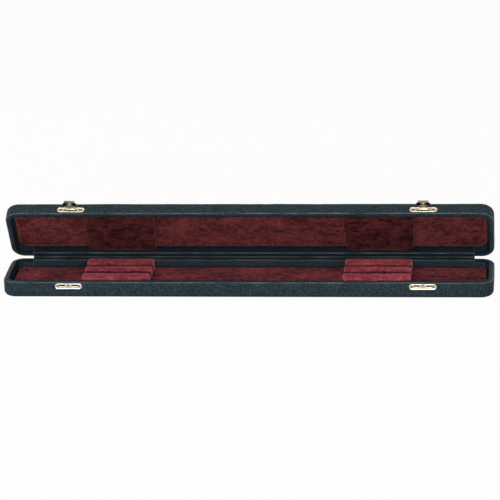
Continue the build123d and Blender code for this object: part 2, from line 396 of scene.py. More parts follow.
# %% Material helpers
def node(tree, kind, inputs=None, **options):
    """Adds one node. An input is a number, a colour, or another node's output."""
    made = tree.nodes.new(kind)
    for name, value in options.items():
        setattr(made, name, value)
    for name, value in (inputs or {}).items():
        if isinstance(value, bpy.types.NodeSocket):
            tree.links.new(value, made.inputs[name])
        else:
            made.inputs[name].default_value = value
    return made


def new_material(name, **shader):
    """A material with one Principled shader, its object coordinates, and the tree."""
    material = bpy.data.materials.new(name)
    material.use_nodes = True
    tree = material.node_tree
    skin = tree.nodes["Principled BSDF"]
    for socket, value in shader.items():
        skin.inputs[socket.replace("_", " ")].default_value = value
    place = node(tree, "ShaderNodeTexCoord").outputs["Object"]
    return material, tree, skin, place


def noise(tree, place, size, detail=2.0, roughness=0.5):
    """Cloudy noise whose lumps are about size millimetres across."""
    return node(tree, "ShaderNodeTexNoise", {
        "Vector": place, "Scale": 1 / (size * MM), "Detail": detail, "Roughness": roughness,
    }).outputs["Fac"]


def stretched(tree, place, x, y, z):
    """The coordinates multiplied by one factor on each axis."""
    return node(tree, "ShaderNodeMapping", {"Vector": place, "Scale": (x, y, z)}).outputs[0]


def ramp(tree, value, *stops):
    """Colours or greys set at places from 0 to 1."""
    made = node(tree, "ShaderNodeValToRGB", {"Fac": value})
    band = made.color_ramp
    while len(band.elements) < len(stops):
        band.elements.new(0.5)
    for element, (place, colour) in zip(band.elements, stops):
        element.position = place
        element.color = (*colour, 1) if isinstance(colour, tuple) else (colour,) * 3 + (1,)
    return made.outputs["Color"]


def mixed(tree, share, first, second, blend="MIX"):
    """Two colours mixed by a share."""
    first, second = ((*c, 1) if isinstance(c, tuple) else c for c in (first, second))
    return node(tree, "ShaderNodeMix", {0: share, 6: first, 7: second}, data_type="RGBA",
                blend_type=blend).outputs[2]


def worked(tree, kind, first, second):
    """One sum, such as ADD or MULTIPLY, on two numbers."""
    return node(tree, "ShaderNodeMath", {0: first, 1: second}, operation=kind).outputs[0]


def plus(tree, first, second):
    """The sum of two numbers."""
    return worked(tree, "ADD", first, second)


def times(tree, first, second):
    """The product of two numbers."""
    return worked(tree, "MULTIPLY", first, second)


def marked(tree, name):
    """A number that a piece marks on its vertices, 0 where there is no such mark."""
    return node(tree, "ShaderNodeAttribute", attribute_name=name).outputs["Fac"]


def bumps(tree, skin, *layers):
    """Stacks layers of (height, depth in mm, strength) into the shader's normal."""
    under = None
    for height, depth, strength in layers:
        inputs = {"Height": height, "Distance": depth * MM, "Strength": strength}
        if under is not None:
            inputs["Normal"] = under
        under = node(tree, "ShaderNodeBump", inputs).outputs["Normal"]
    tree.links.new(under, skin.inputs["Normal"])


print("helpers ready")

# %% [markdown]
# Leatherette is cloth with a pressed plastic skin. Its grain is a field of small raised
# pebbles with fine creases between them, here about a millimetre across. A Voronoi
# texture gives just that: the distance to the nearest cell edge is low in the creases.
# The coordinates are shaken by noise first, so that the cells aren't too neat.
# The skin is nearly black with a blue-green cast, and most of what the eye sees is the
# soft gloss on the pebbles. The creases are painted darker as shade, and the raised
# pebbles lighter, partly as wear from hands and partly as painted highlight. Two marks add
# painted light: a painted highlight along edges that would catch the light, and painted
# shade at the rim's inner edge, where the velvet begins.

# %% Leatherette
def leatherette(name, grain, skin_tone, worn, gloss):
    """Pressed pebble grain with small pores; the creases are painted dark as shade, the raised
    pebbles lighter as wear and painted highlight, and two marks paint light.
    """
    material, tree, skin, place = new_material(name, Specular_IOR_Level=gloss)
    shaken = node(tree, "ShaderNodeMix", {
        0: 0.0005 * grain, 4: place,
        5: node(tree, "ShaderNodeTexNoise", {
            "Vector": place, "Scale": 1 / (grain * MM), "Detail": 1.0,
        }).outputs["Color"],
    }, data_type="VECTOR").outputs[1]
    edge = node(tree, "ShaderNodeTexVoronoi", {"Vector": shaken, "Scale": 1 / (grain * MM)},
                feature="DISTANCE_TO_EDGE").outputs["Distance"]
    pebble = ramp(tree, edge, (0.0, 0.0), (0.12, 0.5), (0.40, 1.0))
    pores = noise(tree, place, 0.3 * grain, 2.0)
    lumps = noise(tree, place, 1.35 * grain, 3.0, 0.6)
    patches = noise(tree, place, 16.0, 3.0)
    height = times(tree, pebble, plus(tree, pores, 0.35))
    worn_and_highlit_tops = ramp(tree, times(tree, height, plus(tree, lumps, 0.45)), (0.44, 0.0), (0.72, 1.0))
    # Painted shade: the creases are a quarter as bright as the pebbles.
    colour = mixed(tree, pebble, tuple(0.25 * v for v in skin_tone), skin_tone)
    # Partly wear, partly painted highlight: the raised pebbles turn lighter.
    colour = mixed(tree, times(tree, worn_and_highlit_tops, 0.8), colour, worn)
    tone = mixed(tree, ramp(tree, patches, (0.3, 0.0), (0.7, 1.0)),
                 (0.84, 0.88, 0.88), (1.12, 1.10, 1.12))
    colour = mixed(tree, 1.0, colour, tone, "MULTIPLY")
    # Painted highlight: the edges that the pieces mark turn light.
    rubbed = times(tree, marked(tree, "rubbed"), plus(tree, lumps, 0.30))
    colour = mixed(tree, rubbed, colour, (0.20, 0.26, 0.29))
    # Painted shade: the rim's inner edge, which the covers mark, turns nearly black.
    colour = mixed(tree, marked(tree, "tucked"), colour, (0.002, 0.003, 0.004))
    tree.links.new(colour, skin.inputs["Base Color"])
    tree.links.new(ramp(tree, height, (0.1, 0.55), (0.9, 0.27)), skin.inputs["Roughness"])
    bumps(tree, skin, (height, 0.22 * grain, 0.9), (lumps, 0.12 * grain, 0.5))
    return material


LEATHERETTE = leatherette("leatherette", 1.1, (0.015, 0.033, 0.044), (0.068, 0.107, 0.132), 0.11)
# The hinge strip wears the same leatherette painted about half as bright: painted shade for the
# gap between the rims.
SHADED_STRIP_SKIN = leatherette(
    "hinge strip skin", 0.8, (0.007, 0.018, 0.026), (0.028, 0.056, 0.073), 0.26)
print("leatherette made")

# %% [markdown]
# Velvet is a dense pile of short threads. Seen end on the pile swallows light and looks
# deep, and seen from the side it gives some back, which is what the shader's sheen is
# for. Where the pile has been brushed another way the tone changes in soft patches, so
# the colour runs between a deep and a lighter red by noise of several sizes. Two marks
# paint light on top: a painted highlight, a lighter line on folds where the pile opens,
# and painted shade deep in a groove, where no light reaches it. The pieces mark both.

# %% Velvet
def velvet(name, pile, sheen, tint, patch, contrast):
    """Pile with brushed patches and a fine fleck, then a painted highlight on folds and painted
    shade in grooves. Each tone is the pile's own colour times a factor."""
    material, tree, skin, place = new_material(
        name, Roughness=0.95, Specular_IOR_Level=0.08, Sheen_Weight=sheen,
        Sheen_Roughness=0.40, Sheen_Tint=(*tint, 1),
    )
    brushed = noise(tree, stretched(tree, place, 0.5, 1, 1), patch, 3.0, 0.6)
    tufts = noise(tree, stretched(tree, place, 0.7, 1, 1), 4.2, 2.0, 0.6)
    fleck = noise(tree, place, 1.0, 2.0, 0.65)
    tone = plus(tree, times(tree, brushed, 0.55), times(tree, tufts, 0.55))
    colour = mixed(tree, ramp(tree, tone, (0.44, 0.0), (0.66, 1.0)),
                   tuple(v * (1 - 0.55 * contrast) for v in pile),
                   tuple(v * (1 + 0.55 * contrast) for v in pile))
    shade = ramp(tree, fleck, (0.32, 0.35), (0.68, 1.5))
    colour = mixed(tree, 1.0, colour, shade, "MULTIPLY")
    # Painted light: a light tone for the highlight on folds and a dark one for the shade in
    # grooves.
    highlight_tone, dark = tuple(1.9 * v + 0.014 for v in pile), tuple(0.12 * v for v in pile)
    # Painted highlight where the pieces mark folds.
    colour = mixed(tree, times(tree, marked(tree, "fold"), 0.75), colour, highlight_tone)
    # Painted shade where the pieces mark grooves.
    colour = mixed(tree, times(tree, marked(tree, "hollow"), 0.9), colour, dark)
    tree.links.new(colour, skin.inputs["Base Color"])
    bumps(tree, skin, (brushed, 0.8, 0.3), (tufts, 0.6, 0.6), (fleck, 0.3, 0.7))
    return material


LINING_VELVET = velvet("lining velvet", (0.112, 0.022, 0.023), 0.22, (0.80, 0.42, 0.44), 14, 0.95)
# The floor wears the lining's velvet painted lighter and with more contrast: painted light from
# above.
LIT_FLOOR_VELVET = velvet("floor velvet", (0.158, 0.024, 0.030), 0.22, (0.85, 0.42, 0.46), 14, 1.35)
# The pads wear the lining's velvet painted darker: painted shade, for pile that lies away from the
# eye.
SHADED_PAD_VELVET = velvet("pad velvet", (0.052, 0.009, 0.010), 0.22, (0.75, 0.38, 0.40), 8, 1.25)
HOLDER_VELVET = velvet("holder velvet", (0.268, 0.040, 0.052), 0.42, (0.95, 0.44, 0.50), 16, 0.8)
print("velvets made")

# %% [markdown]
# The fittings are thin pressed brass, lacquered once and handled since. A metal has no
# colour of its own apart from its reflection, so the base colour is what tints the
# white room. The pieces mark where it turns dark brown: tarnished where a cloth can't
# reach, and painted shade in slots, windows and under the hasp. Fine rubbing makes the
# gloss uneven.

# %% Brass
def brass(name, clean, aged, polish):
    """Light brass, dark brown where the pieces mark tarnished places and painted shade, and
    finely rubbed.
    """
    material, tree, skin, place = new_material(name, Metallic=1.0)
    cloud = noise(tree, place, 1.8, 3.0)
    rub = noise(tree, stretched(tree, place, 0.25, 1, 1), 0.35, 3.0)
    colour = mixed(tree, ramp(tree, cloud, (0.35, 0.0), (0.72, 1.0)), clean, aged)
    # Partly tarnished, partly painted shade: the marked places turn dark brown.
    colour = mixed(tree, marked(tree, "tarnish"), colour, (0.020, 0.013, 0.006))
    tree.links.new(colour, skin.inputs["Base Color"])
    tree.links.new(ramp(tree, rub, (0.3, polish), (0.7, polish + 0.16)), skin.inputs["Roughness"])
    bumps(tree, skin, (cloud, 0.08, 0.35), (rub, 0.015, 0.4))
    return material


BRASS = brass("pressed brass", (0.93, 0.89, 0.76), (0.76, 0.66, 0.48), 0.24)
# The lid's plates and hasps wear a darker brass: partly age, partly painted shade of the plate
# lying in its hasp's shadow.
AGED_SHADED_BRASS = brass("aged brass", (0.74, 0.69, 0.55), (0.44, 0.37, 0.25), 0.18)
WORN_BRASS = brass("worn brass", (0.42, 0.34, 0.20), (0.16, 0.12, 0.07), 0.30)
print("brass made")

# %% [markdown]
# Inside the cover are pieces that hardly show: wooden rails, boards, card and foam. They
# still get a finish of their own, because the case can be taken apart on screen.

# %% Hidden materials
def plain_stuff(name, dark, light, lump, stretch=(1, 1, 1), depth=0.1):
    """One matt stuff whose colour runs between two tones in lumps or fibres."""
    material, tree, skin, place = new_material(name, Roughness=0.8, Specular_IOR_Level=0.2)
    lumps = noise(tree, stretched(tree, place, *stretch), lump, 5.0, 0.65)
    colour = mixed(tree, ramp(tree, lumps, (0.35, 0.0), (0.65, 1.0)), dark, light)
    tree.links.new(colour, skin.inputs["Base Color"])
    bumps(tree, skin, (lumps, depth, 0.5))
    return material


HIDDEN = {
    "wood": plain_stuff("rail wood", (0.30, 0.17, 0.08), (0.50, 0.32, 0.17), 1.6, (0.06, 1, 1)),
    "fibreboard": plain_stuff("fibreboard", (0.050, 0.036, 0.025), (0.10, 0.075, 0.05), 0.8),
    "card": plain_stuff("lining card", (0.30, 0.27, 0.22), (0.42, 0.38, 0.32), 0.6),
    "foam": plain_stuff("holder foam", (0.55, 0.50, 0.38), (0.72, 0.67, 0.54), 0.5, depth=0.3),
}
BY_SLOT = {"leatherette": LEATHERETTE, "brass": BRASS, "holder_velvet": HOLDER_VELVET,
           "pad_velvet": SHADED_PAD_VELVET, "lining_velvet": LINING_VELVET, **HIDDEN}
for name, solid in nodes.items():
    slots = [s.material.name if s.material else "" for s in solid.material_slots]
    for index, old in enumerate(slots):
        found = [stuff for slot, stuff in BY_SLOT.items() if slot in old]
        solid.material_slots[index].material = found[0] if found else HIDDEN["card"]
    if name in ("latch_pins", "latch_nails", "keeper_nails"):
        solid.material_slots[0].material = WORN_BRASS
    print(name, slots)

# %% [markdown]
# The cover of each half is one skin: glued under the board, drawn up the wall, folded
# over the rim and turned down inside. A box with bevels would do for its outline, but
# its section wants four different rounds, so the section is written out once and
# carried round the plan. The wood below is never quite true and the glue never quite
# even, so the skin gets waves of a tenth of a millimetre, and small darts where it is
# gathered round the corners of the rim.

# %% Leatherette covers
UNDERSIDE_ROWS = 9
# Where the painted highlight runs on the rim's outer round, and how wide it is.
HIGHLIGHT_AT, HIGHLIGHT_WIDTH = 0.6, 0.34


def cover_section(height, board):
    """Rows (inset, height, drawn in) from the middle of the outer face, out to the wall,
    up, over the rim, down inside to the board, and back along the wood."""
    inner = np.array([(WALL - COVER, board), (WALL - COVER, height - RIM_ROUND),
                      (WALL - 1.8, height - COVER), (RIM_ROUND, height - COVER),
                      (COVER, height - RIM_ROUND), (COVER, EDGE_ROUND),
                      (EDGE_ROUND, COVER), (6.0, COVER)])
    rows = np.concatenate([
        line((6.0, 0), (EDGE_ROUND, 0), 1.0),
        arc((EDGE_ROUND, EDGE_ROUND), EDGE_ROUND, 270, 180, 8)[1:],
        line((0, EDGE_ROUND), (0, height - RIM_ROUND), 1.2),
        arc((RIM_ROUND, height - RIM_ROUND), RIM_ROUND, 180, 90, 7)[1:],
        line((RIM_ROUND, height), (WALL - RIM_INNER_ROUND, height), 0.9),
        arc((WALL - RIM_INNER_ROUND, height - RIM_INNER_ROUND), RIM_INNER_ROUND, 90, 0, 5)[1:],
        line((WALL, height - RIM_INNER_ROUND), (WALL, board), 1.2),
        inner,
    ])
    flat = np.array([(6.0, 0.0, share) for share in (1, 0.75, 0.5, 0.25, 0)])
    under = np.array([(6.0, COVER, share) for share in (0.5, 1)])
    return np.concatenate([flat, np.c_[rows, np.zeros(len(rows))], under]), len(inner) + 2


def cover_of(height, board, seed):
    """The cover as a grid: out = corner radius - inset, then waves and corner darts along
    the normals, with the back rim left true for the hinge strip."""
    section, hidden = cover_section(height, board)
    section[:, 0] = CASE["corner"] - section[:, 0]
    plan = plan_of(**CASE, step=1.5)
    grid = carried_round(plan, section)
    shown = np.zeros(len(section))
    shown[UNDERSIDE_ROWS:-hidden] = 1
    at_corner = np.abs(2 * plan[1][:, 0] * plan[1][:, 1])
    angle = np.arctan2(plan[1][:, 1], plan[1][:, 0])
    at_back = grid[..., 1] > 20
    on_top = smooth(height - 3.0, height - 0.5, grid[..., 2])
    inset = CASE["corner"] - section[:, :1]
    under_strip = np.maximum(smooth(0.2, 1.2, inset) * on_top, inset > 4.5) * at_back
    waves = 0.10 * soft_waves(grid, 46, seed) + 0.05 * soft_waves(grid, 11, seed + 1)
    darts = 0.09 * np.cos(angle * 26) * at_corner * on_top * smooth(1.5, 4.0, inset)
    amount = (waves * (1 - under_strip) + darts) * shown[:, None]
    return grid + outward(grid) * amount[..., None]


def mark_rim(mesh, height, tray_points):
    """Marks a cover's rim with painted light: a painted highlight on the outer round where it
    faces up and out, and painted shade at the inner edge, where the velvet begins."""
    straight = [CASE["length"] / 2 - CASE["corner"], CASE["depth"] / 2 - CASE["corner"]]
    past = np.maximum(np.abs(tray_points[:, :2]) - straight, 0)
    inset = CASE["corner"] - np.hypot(*past.T)
    top = smooth(height - 1.5, height - 0.7, tray_points[:, 2])
    uneven = 0.75 + 0.45 * soft_waves(tray_points, 25, 81) + 0.25 * soft_waves(tray_points, 4, 82)
    shown = tray_points[:, 2] > height - RIM_ROUND - 0.2
    # Painted highlight along the outer round, uneven along the case.
    rubbed = 0.62 * bead(inset - HIGHLIGHT_AT, HIGHLIGHT_WIDTH) * top * uneven * shown
    mark(mesh, "rubbed", np.clip(rubbed, 0, 1))
    # Painted shade along the rim's inner edge.
    mark(mesh, "tucked", 0.85 * smooth(WALL - 1.5, WALL - 0.5, inset) * shown)


for half, tray, seed in (("base", BASE, 3), ("lid", LID, 7)):
    name = f"{half}_leatherette"
    cover = add_object(name, mesh_of(name, cover_of(tray["height"], tray["board"], seed)))
    points = points_of(cover.data)
    mark_rim(cover.data, tray["height"], points)
    if half == "lid":
        into_the_lid(cover.data, points)
    dress(cover, LEATHERETTE, half, (f"{half}_side_cover", f"{half}_face_cover"))

# %% [markdown]
# The linings are thin card wrapped in velvet and dropped in between the walls, so their
# edges are soft rolls with a dark gap beside them. The wrap is again a section carried
# round a plan: along the card, down its edge, and back over the top. The pile lies
# unevenly, which shows as low swells and a fine nap.

# %% Velvet linings
HIDDEN_ROWS = 9


def lining_section(card, floor, board):
    """Rows from under the velvet at the card's middle, out, down the skirt, up and over
    the roll, and back across the pile to the middle."""
    reach, wrap, roll = PANEL["corner"], 0.28, 0.9
    inside = [(reach - 5, card, share) for share in (1, 0.5, 0)]
    inside += [(reach + 0.02, card, 0), (reach + 0.02, board + 0.15, 0)]
    edge = np.concatenate([
        [(reach + wrap, board + 0.15)],
        line((reach + wrap, board + 0.15), (reach + wrap, floor - roll), 0.7),
        arc((reach + wrap - roll, floor - roll), roll, 0, 90, 6)[1:],
        line((reach + wrap - roll, floor), (reach - 5, floor), 0.8),
    ])
    pile = [(reach - 5, floor, share) for share in np.linspace(0, 1, 26)[1:]]
    return np.concatenate([inside, np.c_[edge, np.zeros(len(edge))], pile])


def lining_of(card, floor, board, seed):
    """The wrap as a grid, its upper side raised by swells and nap along the normals."""
    section = lining_section(card, floor, board)
    grid = carried_round(plan_of(**PANEL, step=1.1), section)
    shown = (np.arange(len(section)) >= HIDDEN_ROWS)[:, None]
    edge = smooth(floor - 0.9, floor - 0.05, grid[..., 2])
    relief = 0.13 * soft_waves(grid, 30, seed) + 0.05 * soft_waves(grid, 6, seed + 1)
    relief = relief * edge + 0.035 * soft_waves(grid, 2.6, seed + 2, 40)
    return grid + outward(grid) * (relief * shown)[..., None]


def mark_edge(mesh, floor, tray_points):
    """Marks a painted highlight on a lining's rolled edge: high where the point lies just below
    the pile's level and near the panel's border."""
    across = PANEL["depth"] / 2 - np.abs(tray_points[:, 1])
    ends = PANEL["length"] / 2 - np.abs(tray_points[:, 0])
    near = 1 - smooth(0.5, 1.6, np.minimum(across, ends))
    level = smooth(floor - 1.1, floor - 0.3, tray_points[:, 2])
    # Painted highlight: the pile turns light along the roll.
    mark(mesh, "fold", near * level * (0.8 + 0.5 * soft_waves(tray_points, 7, 61)))


LININGS = (
    ("base_floor_velvet", "base", BASE, 21, LIT_FLOOR_VELVET, "base_velvet_floor"),
    ("lid_lining_velvet", "lid", LID, 31, LINING_VELVET, "lid_velvet_lining"),
)
for name, half, tray, seed, pile, solid in LININGS:
    grid = lining_of(tray["card"], tray["floor"], tray["board"], seed)
    lining = add_object(name, mesh_of(name, grid))
    points = points_of(lining.data)
    mark_edge(lining.data, tray["floor"], points)
    if half == "lid":
        into_the_lid(lining.data, points)
    dress(lining, pile, half, (solid,))

# %% [markdown]
# A stuffed piece is not a rounded box: its skin is pulled tight by what is inside, so its
# faces crown and its sides pull in between the corners. Blender's cloth can work that
# out. The piece is remeshed to even squares and blown up a little with gravity off,
# while the parts that are glued down are held by a vertex group. The travel is capped,
# so that it stays in the room the case gives it. Last come a subdivision, and the nap
# and slow swells of the pile.

# %% Blow up a stuffed piece
CLOTH_STEPS, PRESSURE, STIFFNESS = 20, 4.0, 12
NAP_LENGTH, GLUED_HEIGHT = 1.6, 0.3


def blow_up(obj, voxel, held, cap):
    """Remeshes obj and lets cloth swell it. held(points) gives 0 to 1 for each point, and
    no point travels further than cap millimetres."""
    bpy.ops.object.select_all(action="DESELECT")
    bpy.context.view_layer.objects.active = obj
    obj.select_set(True)
    remesh = obj.modifiers.new("even squares", "REMESH")
    remesh.mode, remesh.voxel_size = "VOXEL", voxel * MM
    bpy.ops.object.modifier_apply(modifier=remesh.name)
    before = points_of(obj.data)
    group = obj.vertex_groups.new(name="glued down")
    hold = held(before)
    for level in np.unique(np.round(hold, 1)):
        group.add(np.flatnonzero(np.round(hold, 1) == level).tolist(), float(level), "REPLACE")
    cloth = obj.modifiers.new("stuffing", "CLOTH")
    settings = cloth.settings
    settings.use_pressure, settings.uniform_pressure_force = True, PRESSURE
    settings.effector_weights.gravity = 0
    settings.vertex_group_mass = group.name
    settings.tension_stiffness = settings.compression_stiffness = STIFFNESS
    cloth.point_cache.frame_start, cloth.point_cache.frame_end = 1, CLOTH_STEPS
    for step in range(1, CLOTH_STEPS + 1):
        bpy.context.scene.frame_set(step)
    bpy.ops.object.modifier_apply(modifier=cloth.name)
    bpy.context.scene.frame_set(1)
    obj.vertex_groups.clear()
    travel = points_of(obj.data) - before
    length = np.linalg.norm(travel, axis=1, keepdims=True)
    travel *= np.minimum(1, cap / np.maximum(length, 1e-9))
    put_points(obj.data, before + travel)
    print(obj.name, "swelled by", round(float(length.mean()), 2), "mm before the cap of", cap)


def napped(obj, floor, dip, fine, swell, wavelength, seed):
    """Subdivides obj once and gives its points, raised by nap and swells along the normals
    above where it is glued, and kept above floor - dip. Gives the normals too."""
    split = obj.modifiers.new("finer", "SUBSURF")
    split.levels = split.render_levels = 1
    bpy.context.view_layer.objects.active = obj
    bpy.ops.object.modifier_apply(modifier=split.name)
    points, normal = points_of(obj.data), normals_of(obj.data)
    nap = (fine * soft_waves(points, NAP_LENGTH, seed, 60)
           + swell * soft_waves(points, wavelength, seed + 1))
    points += normal * (nap * (points[:, 2] > floor + GLUED_HEIGHT))[:, None]
    points[:, 2] = np.maximum(points[:, 2], floor - dip)
    return points, normal


print("cloth steps:", CLOTH_STEPS)

# %% [markdown]
# Two velvet blocks carry the batons. Each is foam cut into three ridges with two
# grooves, and velvet drawn over it and pushed down into the grooves. A stack of
# cylinders would leave hard valleys, so the section is one closed line: walls up from
# the floor, flat crests with round lips, and grooves with round beds. It is carried
# along the case, drawn in a little at both ends, and closed flat.

# %% Baton holders
HOLDER = dict(length=63.0, half_width=24.3, top=18.05, end_round=1.6)
CORNER, LIP, BED, GROOVE_AT = 2.2, 3.2, 2.4, 8.13
MIDDLE_REACH, MIDDLE_RISE, END_DRAW = 18, 2, 0.16
VALLEY = HOLDER["top"] - LIP - BED


def holder_section(step):
    """The closed line in (y, z). From the crest of the middle ridge it goes over a round
    lip, down round the groove's bed, up over the next lip, across, round the corner and
    down to the floor. The other half mirrors it."""
    side, top, floor = HOLDER["half_width"], HOLDER["top"], BASE["floor"]
    inner, outer = GROOVE_AT - BED - LIP, GROOVE_AT + BED + LIP
    half = np.concatenate([
        line((0, top), (inner, top), step),
        arc((inner, top - LIP), LIP, 90, 0, 8)[1:],
        arc((GROOVE_AT, top - LIP), BED, 180, 360, 11)[1:],
        arc((outer, top - LIP), LIP, 180, 90, 8)[1:],
        line((outer, top), (side - CORNER, top), step),
        arc((side - CORNER, top - CORNER), CORNER, 90, 0, 7)[1:],
        line((side, top - CORNER), (side, floor), step),
    ])
    under = line((side, floor), (-side, floor), 2.5)[:-1]
    return np.concatenate([half[::-1] * (-1, 1), [(0, top)], half, under])


def holder_grid(x, step=0.5):
    """The section carried along X. Near an end, x goes on by r sin(a) while the section is
    drawn in by a share that grows with 1 - cos(a)."""
    section = holder_section(step)
    middle = np.stack([np.clip(section[:, 0], -MIDDLE_REACH, MIDDLE_REACH),
                       np.full(len(section), BASE["floor"] + MIDDLE_RISE)], 1)
    radius, half = HOLDER["end_round"], HOLDER["length"] / 2
    angle = np.radians(np.linspace(0, 90, 9))
    run = line((-half + radius, 0), (half - radius, 0), step)[:-1, 0]
    reach = half - radius + radius * np.sin(angle)
    share = END_DRAW * (1 - np.cos(angle))
    caps = np.array([0.7, 0.4])
    stations = np.concatenate([[-half] * 2, -reach[::-1], run, reach, [half] * 2])
    shrink = np.concatenate([caps, share[::-1], 0 * run, share, caps[::-1]])
    return bar_along(x + stations, section, middle, shrink)


def in_a_groove(points):
    """1 at the glued underside and along the bottom of the two grooves."""
    across = np.abs(np.abs(points[:, 1]) - GROOVE_AT)
    low = 1 - smooth(VALLEY + 0.6, VALLEY + 2.0, points[:, 2])
    flat = points[:, 2] < BASE["floor"] + 0.8
    return np.maximum((across < BED) * low, flat)


for side, x in HOLDER_X.items():
    name = f"baton_holder_{side}"
    holder = add_object(name, mesh_of(name, holder_grid(x)))
    blow_up(holder, voxel=0.9, held=in_a_groove, cap=0.45)
    points, normal = napped(
        holder, BASE["floor"], dip=0.1, fine=0.06, swell=0.14, wavelength=9, seed=41)
    put_points(holder.data, points)
    # Painted highlight: the pile over the rounded ends turns light where it faces up.
    end = HOLDER["length"] / 2 - np.abs(points[:, 0] - x)
    rim = (1 - smooth(0.5, 1.7, end)) * smooth(0.05, 0.5, normal[:, 2])
    mark(holder.data, "fold", rim * (0.75 + 0.4 * soft_waves(points, 5, 43)))
    # Painted shade: the pile low in the grooves and on the walls beside them turns dark.
    deep = 1 - smooth(VALLEY + 2.2, HOLDER["top"] - 0.45, points[:, 2])
    across = np.abs(np.abs(points[:, 1]) - GROOVE_AT)
    mark(holder.data, "hollow", deep * (1 - smooth(3.1, 4.8, across)))
    dress(holder, HOLDER_VELVET, "base", (f"baton_holder_velvet_{side}",))

# %% [markdown]
# In the lid, a flat stuffed pad faces each holder and keeps the batons from rattling. It
# starts as a rounded slab a little smaller than its room, and a little longer at the
# front than at the hinge. Its back is glued to the lining, so those points are held, and
# the face swells. The pad's velvet is painted darker as shade, for pile that lies away
# from the eye on the face, and a painted highlight draws a lighter line over the edges.

# %% Lid pads
PAD = dict(length=65.4, depth=48.6, corner=2.8)
PAD_FACE, PAD_ROUND, PAD_TAPER = 12.8, 1.9, 0.040


def pad_section():
    """Rows from the middle of the back, out, up the side, round the edge and in again."""
    reach, back_at = PAD["corner"], LID["floor"]
    rows = np.concatenate([
        [(reach - 0.4, back_at), (reach, back_at + 0.4)],
        line((reach, back_at + 0.4), (reach, PAD_FACE - PAD_ROUND), 0.8),
        arc((reach - PAD_ROUND, PAD_FACE - PAD_ROUND), PAD_ROUND, 0, 90, 7)[1:],
    ])
    back_rows = [(reach - 0.4, back_at, share) for share in (1, 0.75, 0.5, 0.25)]
    face_rows = [(reach - PAD_ROUND, PAD_FACE, share) for share in np.linspace(0, 1, 16)[1:]]
    return np.concatenate([back_rows, np.c_[rows, np.zeros(len(rows))], face_rows])


def at_the_back(points):
    """1 at the back of a pad, where it is glued to the lining."""
    return (points[:, 2] < LID["floor"] + 0.9) * 1.0


for side, x in PAD_X.items():
    name = f"lid_pad_velvet_{side}"
    grid = carried_round(plan_of(**PAD, step=1.2), pad_section())
    grid[..., 0] = x + grid[..., 0] * (1 - PAD_TAPER * grid[..., 1] / PAD["depth"] * 2)
    pad = add_object(name, mesh_of(name, grid))
    blow_up(pad, voxel=1.1, held=at_the_back, cap=0.5)
    points, normal = napped(
        pad, LID["floor"], dip=0.05, fine=0.05, swell=0.16, wavelength=14, seed=51)
    # Painted highlight: a lighter line where the face turns over its edges.
    edge = smooth(0.10, 0.45, 1 - normal[:, 2]) * (1 - smooth(0.75, 0.95, 1 - normal[:, 2]))
    mark(pad.data, "fold", edge * smooth(LID["floor"] + 2, LID["floor"] + 4, points[:, 2]))
    into_the_lid(pad.data, points)
    dress(pad, SHADED_PAD_VELVET, "lid", (f"lid_pad_{side}",))
    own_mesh(pad)

# %% [markdown]
# The hinge is a strip of the same leatherette, glued down the inside of one back wall,
# over its rim, and up the other. On the case it is the only piece that bends when the lid
# moves; here it is made once, in the open pose, and rides with no body. It is made as one
# thin band: a path in the side view with a thickness, carried along the case.

# %% Hinge strip
STRIP_THICK, FOLD_REACH = 0.28, 1.15
END_STEP, STATIONS = 0.6, 209
low, high = span("hinge_strip_base_leaf")
STRIP_ENDS = low[0], high[0]


def leaf_path():
    """The middle of the strip on the base in (y, z), from the floor up to the fold."""
    inner, half = CASE["depth"] / 2 - WALL, STRIP_THICK / 2
    turn = (inner + RIM_INNER_ROUND, BASE["height"] - RIM_INNER_ROUND)
    return np.concatenate([
        [(inner - half, BASE["floor"] + 0.05)],
        line((inner - half, BASE["floor"] + 0.05), (inner - half, turn[1]), 1.0),
        arc(turn, RIM_INNER_ROUND + half, 180, 90, 7)[1:],
        line((turn[0], BASE["height"] + half), (HINGE_Y - FOLD_REACH, BASE["height"] + half), 0.6),
    ])


def in_side_view(path):
    """A path in (y, z) as points at X 0."""
    return np.concatenate([np.zeros((len(path), 1)), path], 1)


def strip_grid():
    """Path and thickness: point = middle +- normal * half the thickness, there and back,
    with the ends closed on the middle. The lid's leaf is the base's, mirrored at the
    hinge's height and opened, and a soft curve bridges the valley between the rims."""
    low = in_side_view(leaf_path())
    high = opened(low * (1, 1, -1) + (0, 0, 2 * HINGE_Z))[::-1]
    start, end = low[-1, 1:], high[0, 1:]
    turn = np.linspace(0, 1, 8)[1:-1, None]
    pull = 0.45 * FOLD_REACH * np.array([(1, 0), (-math.cos(LID_OPEN), math.sin(LID_OPEN))])
    knots = start, start + pull[0], end - pull[1], end
    fold = ((1 - turn) ** 3 * knots[0] + 3 * turn * (1 - turn) ** 2 * knots[1]
            + 3 * turn ** 2 * (1 - turn) * knots[2] + turn ** 3 * knots[3])
    path = np.concatenate([low[:, 1:], fold, high[:, 1:]])
    along = np.gradient(path, axis=0)
    along /= np.linalg.norm(along, axis=1, keepdims=True)
    normal = np.stack([-along[:, 1], along[:, 0]], 1) * STRIP_THICK / 2
    loop = np.concatenate([path + normal, (path - normal)[::-1]])
    middle = np.concatenate([path, path[::-1]])
    first, last = STRIP_ENDS
    inner = np.linspace(first + END_STEP, last - END_STEP, STATIONS)
    stations = np.concatenate([[first], inner, [last]])
    return bar_along(stations, loop, middle, 0 * stations), start, end


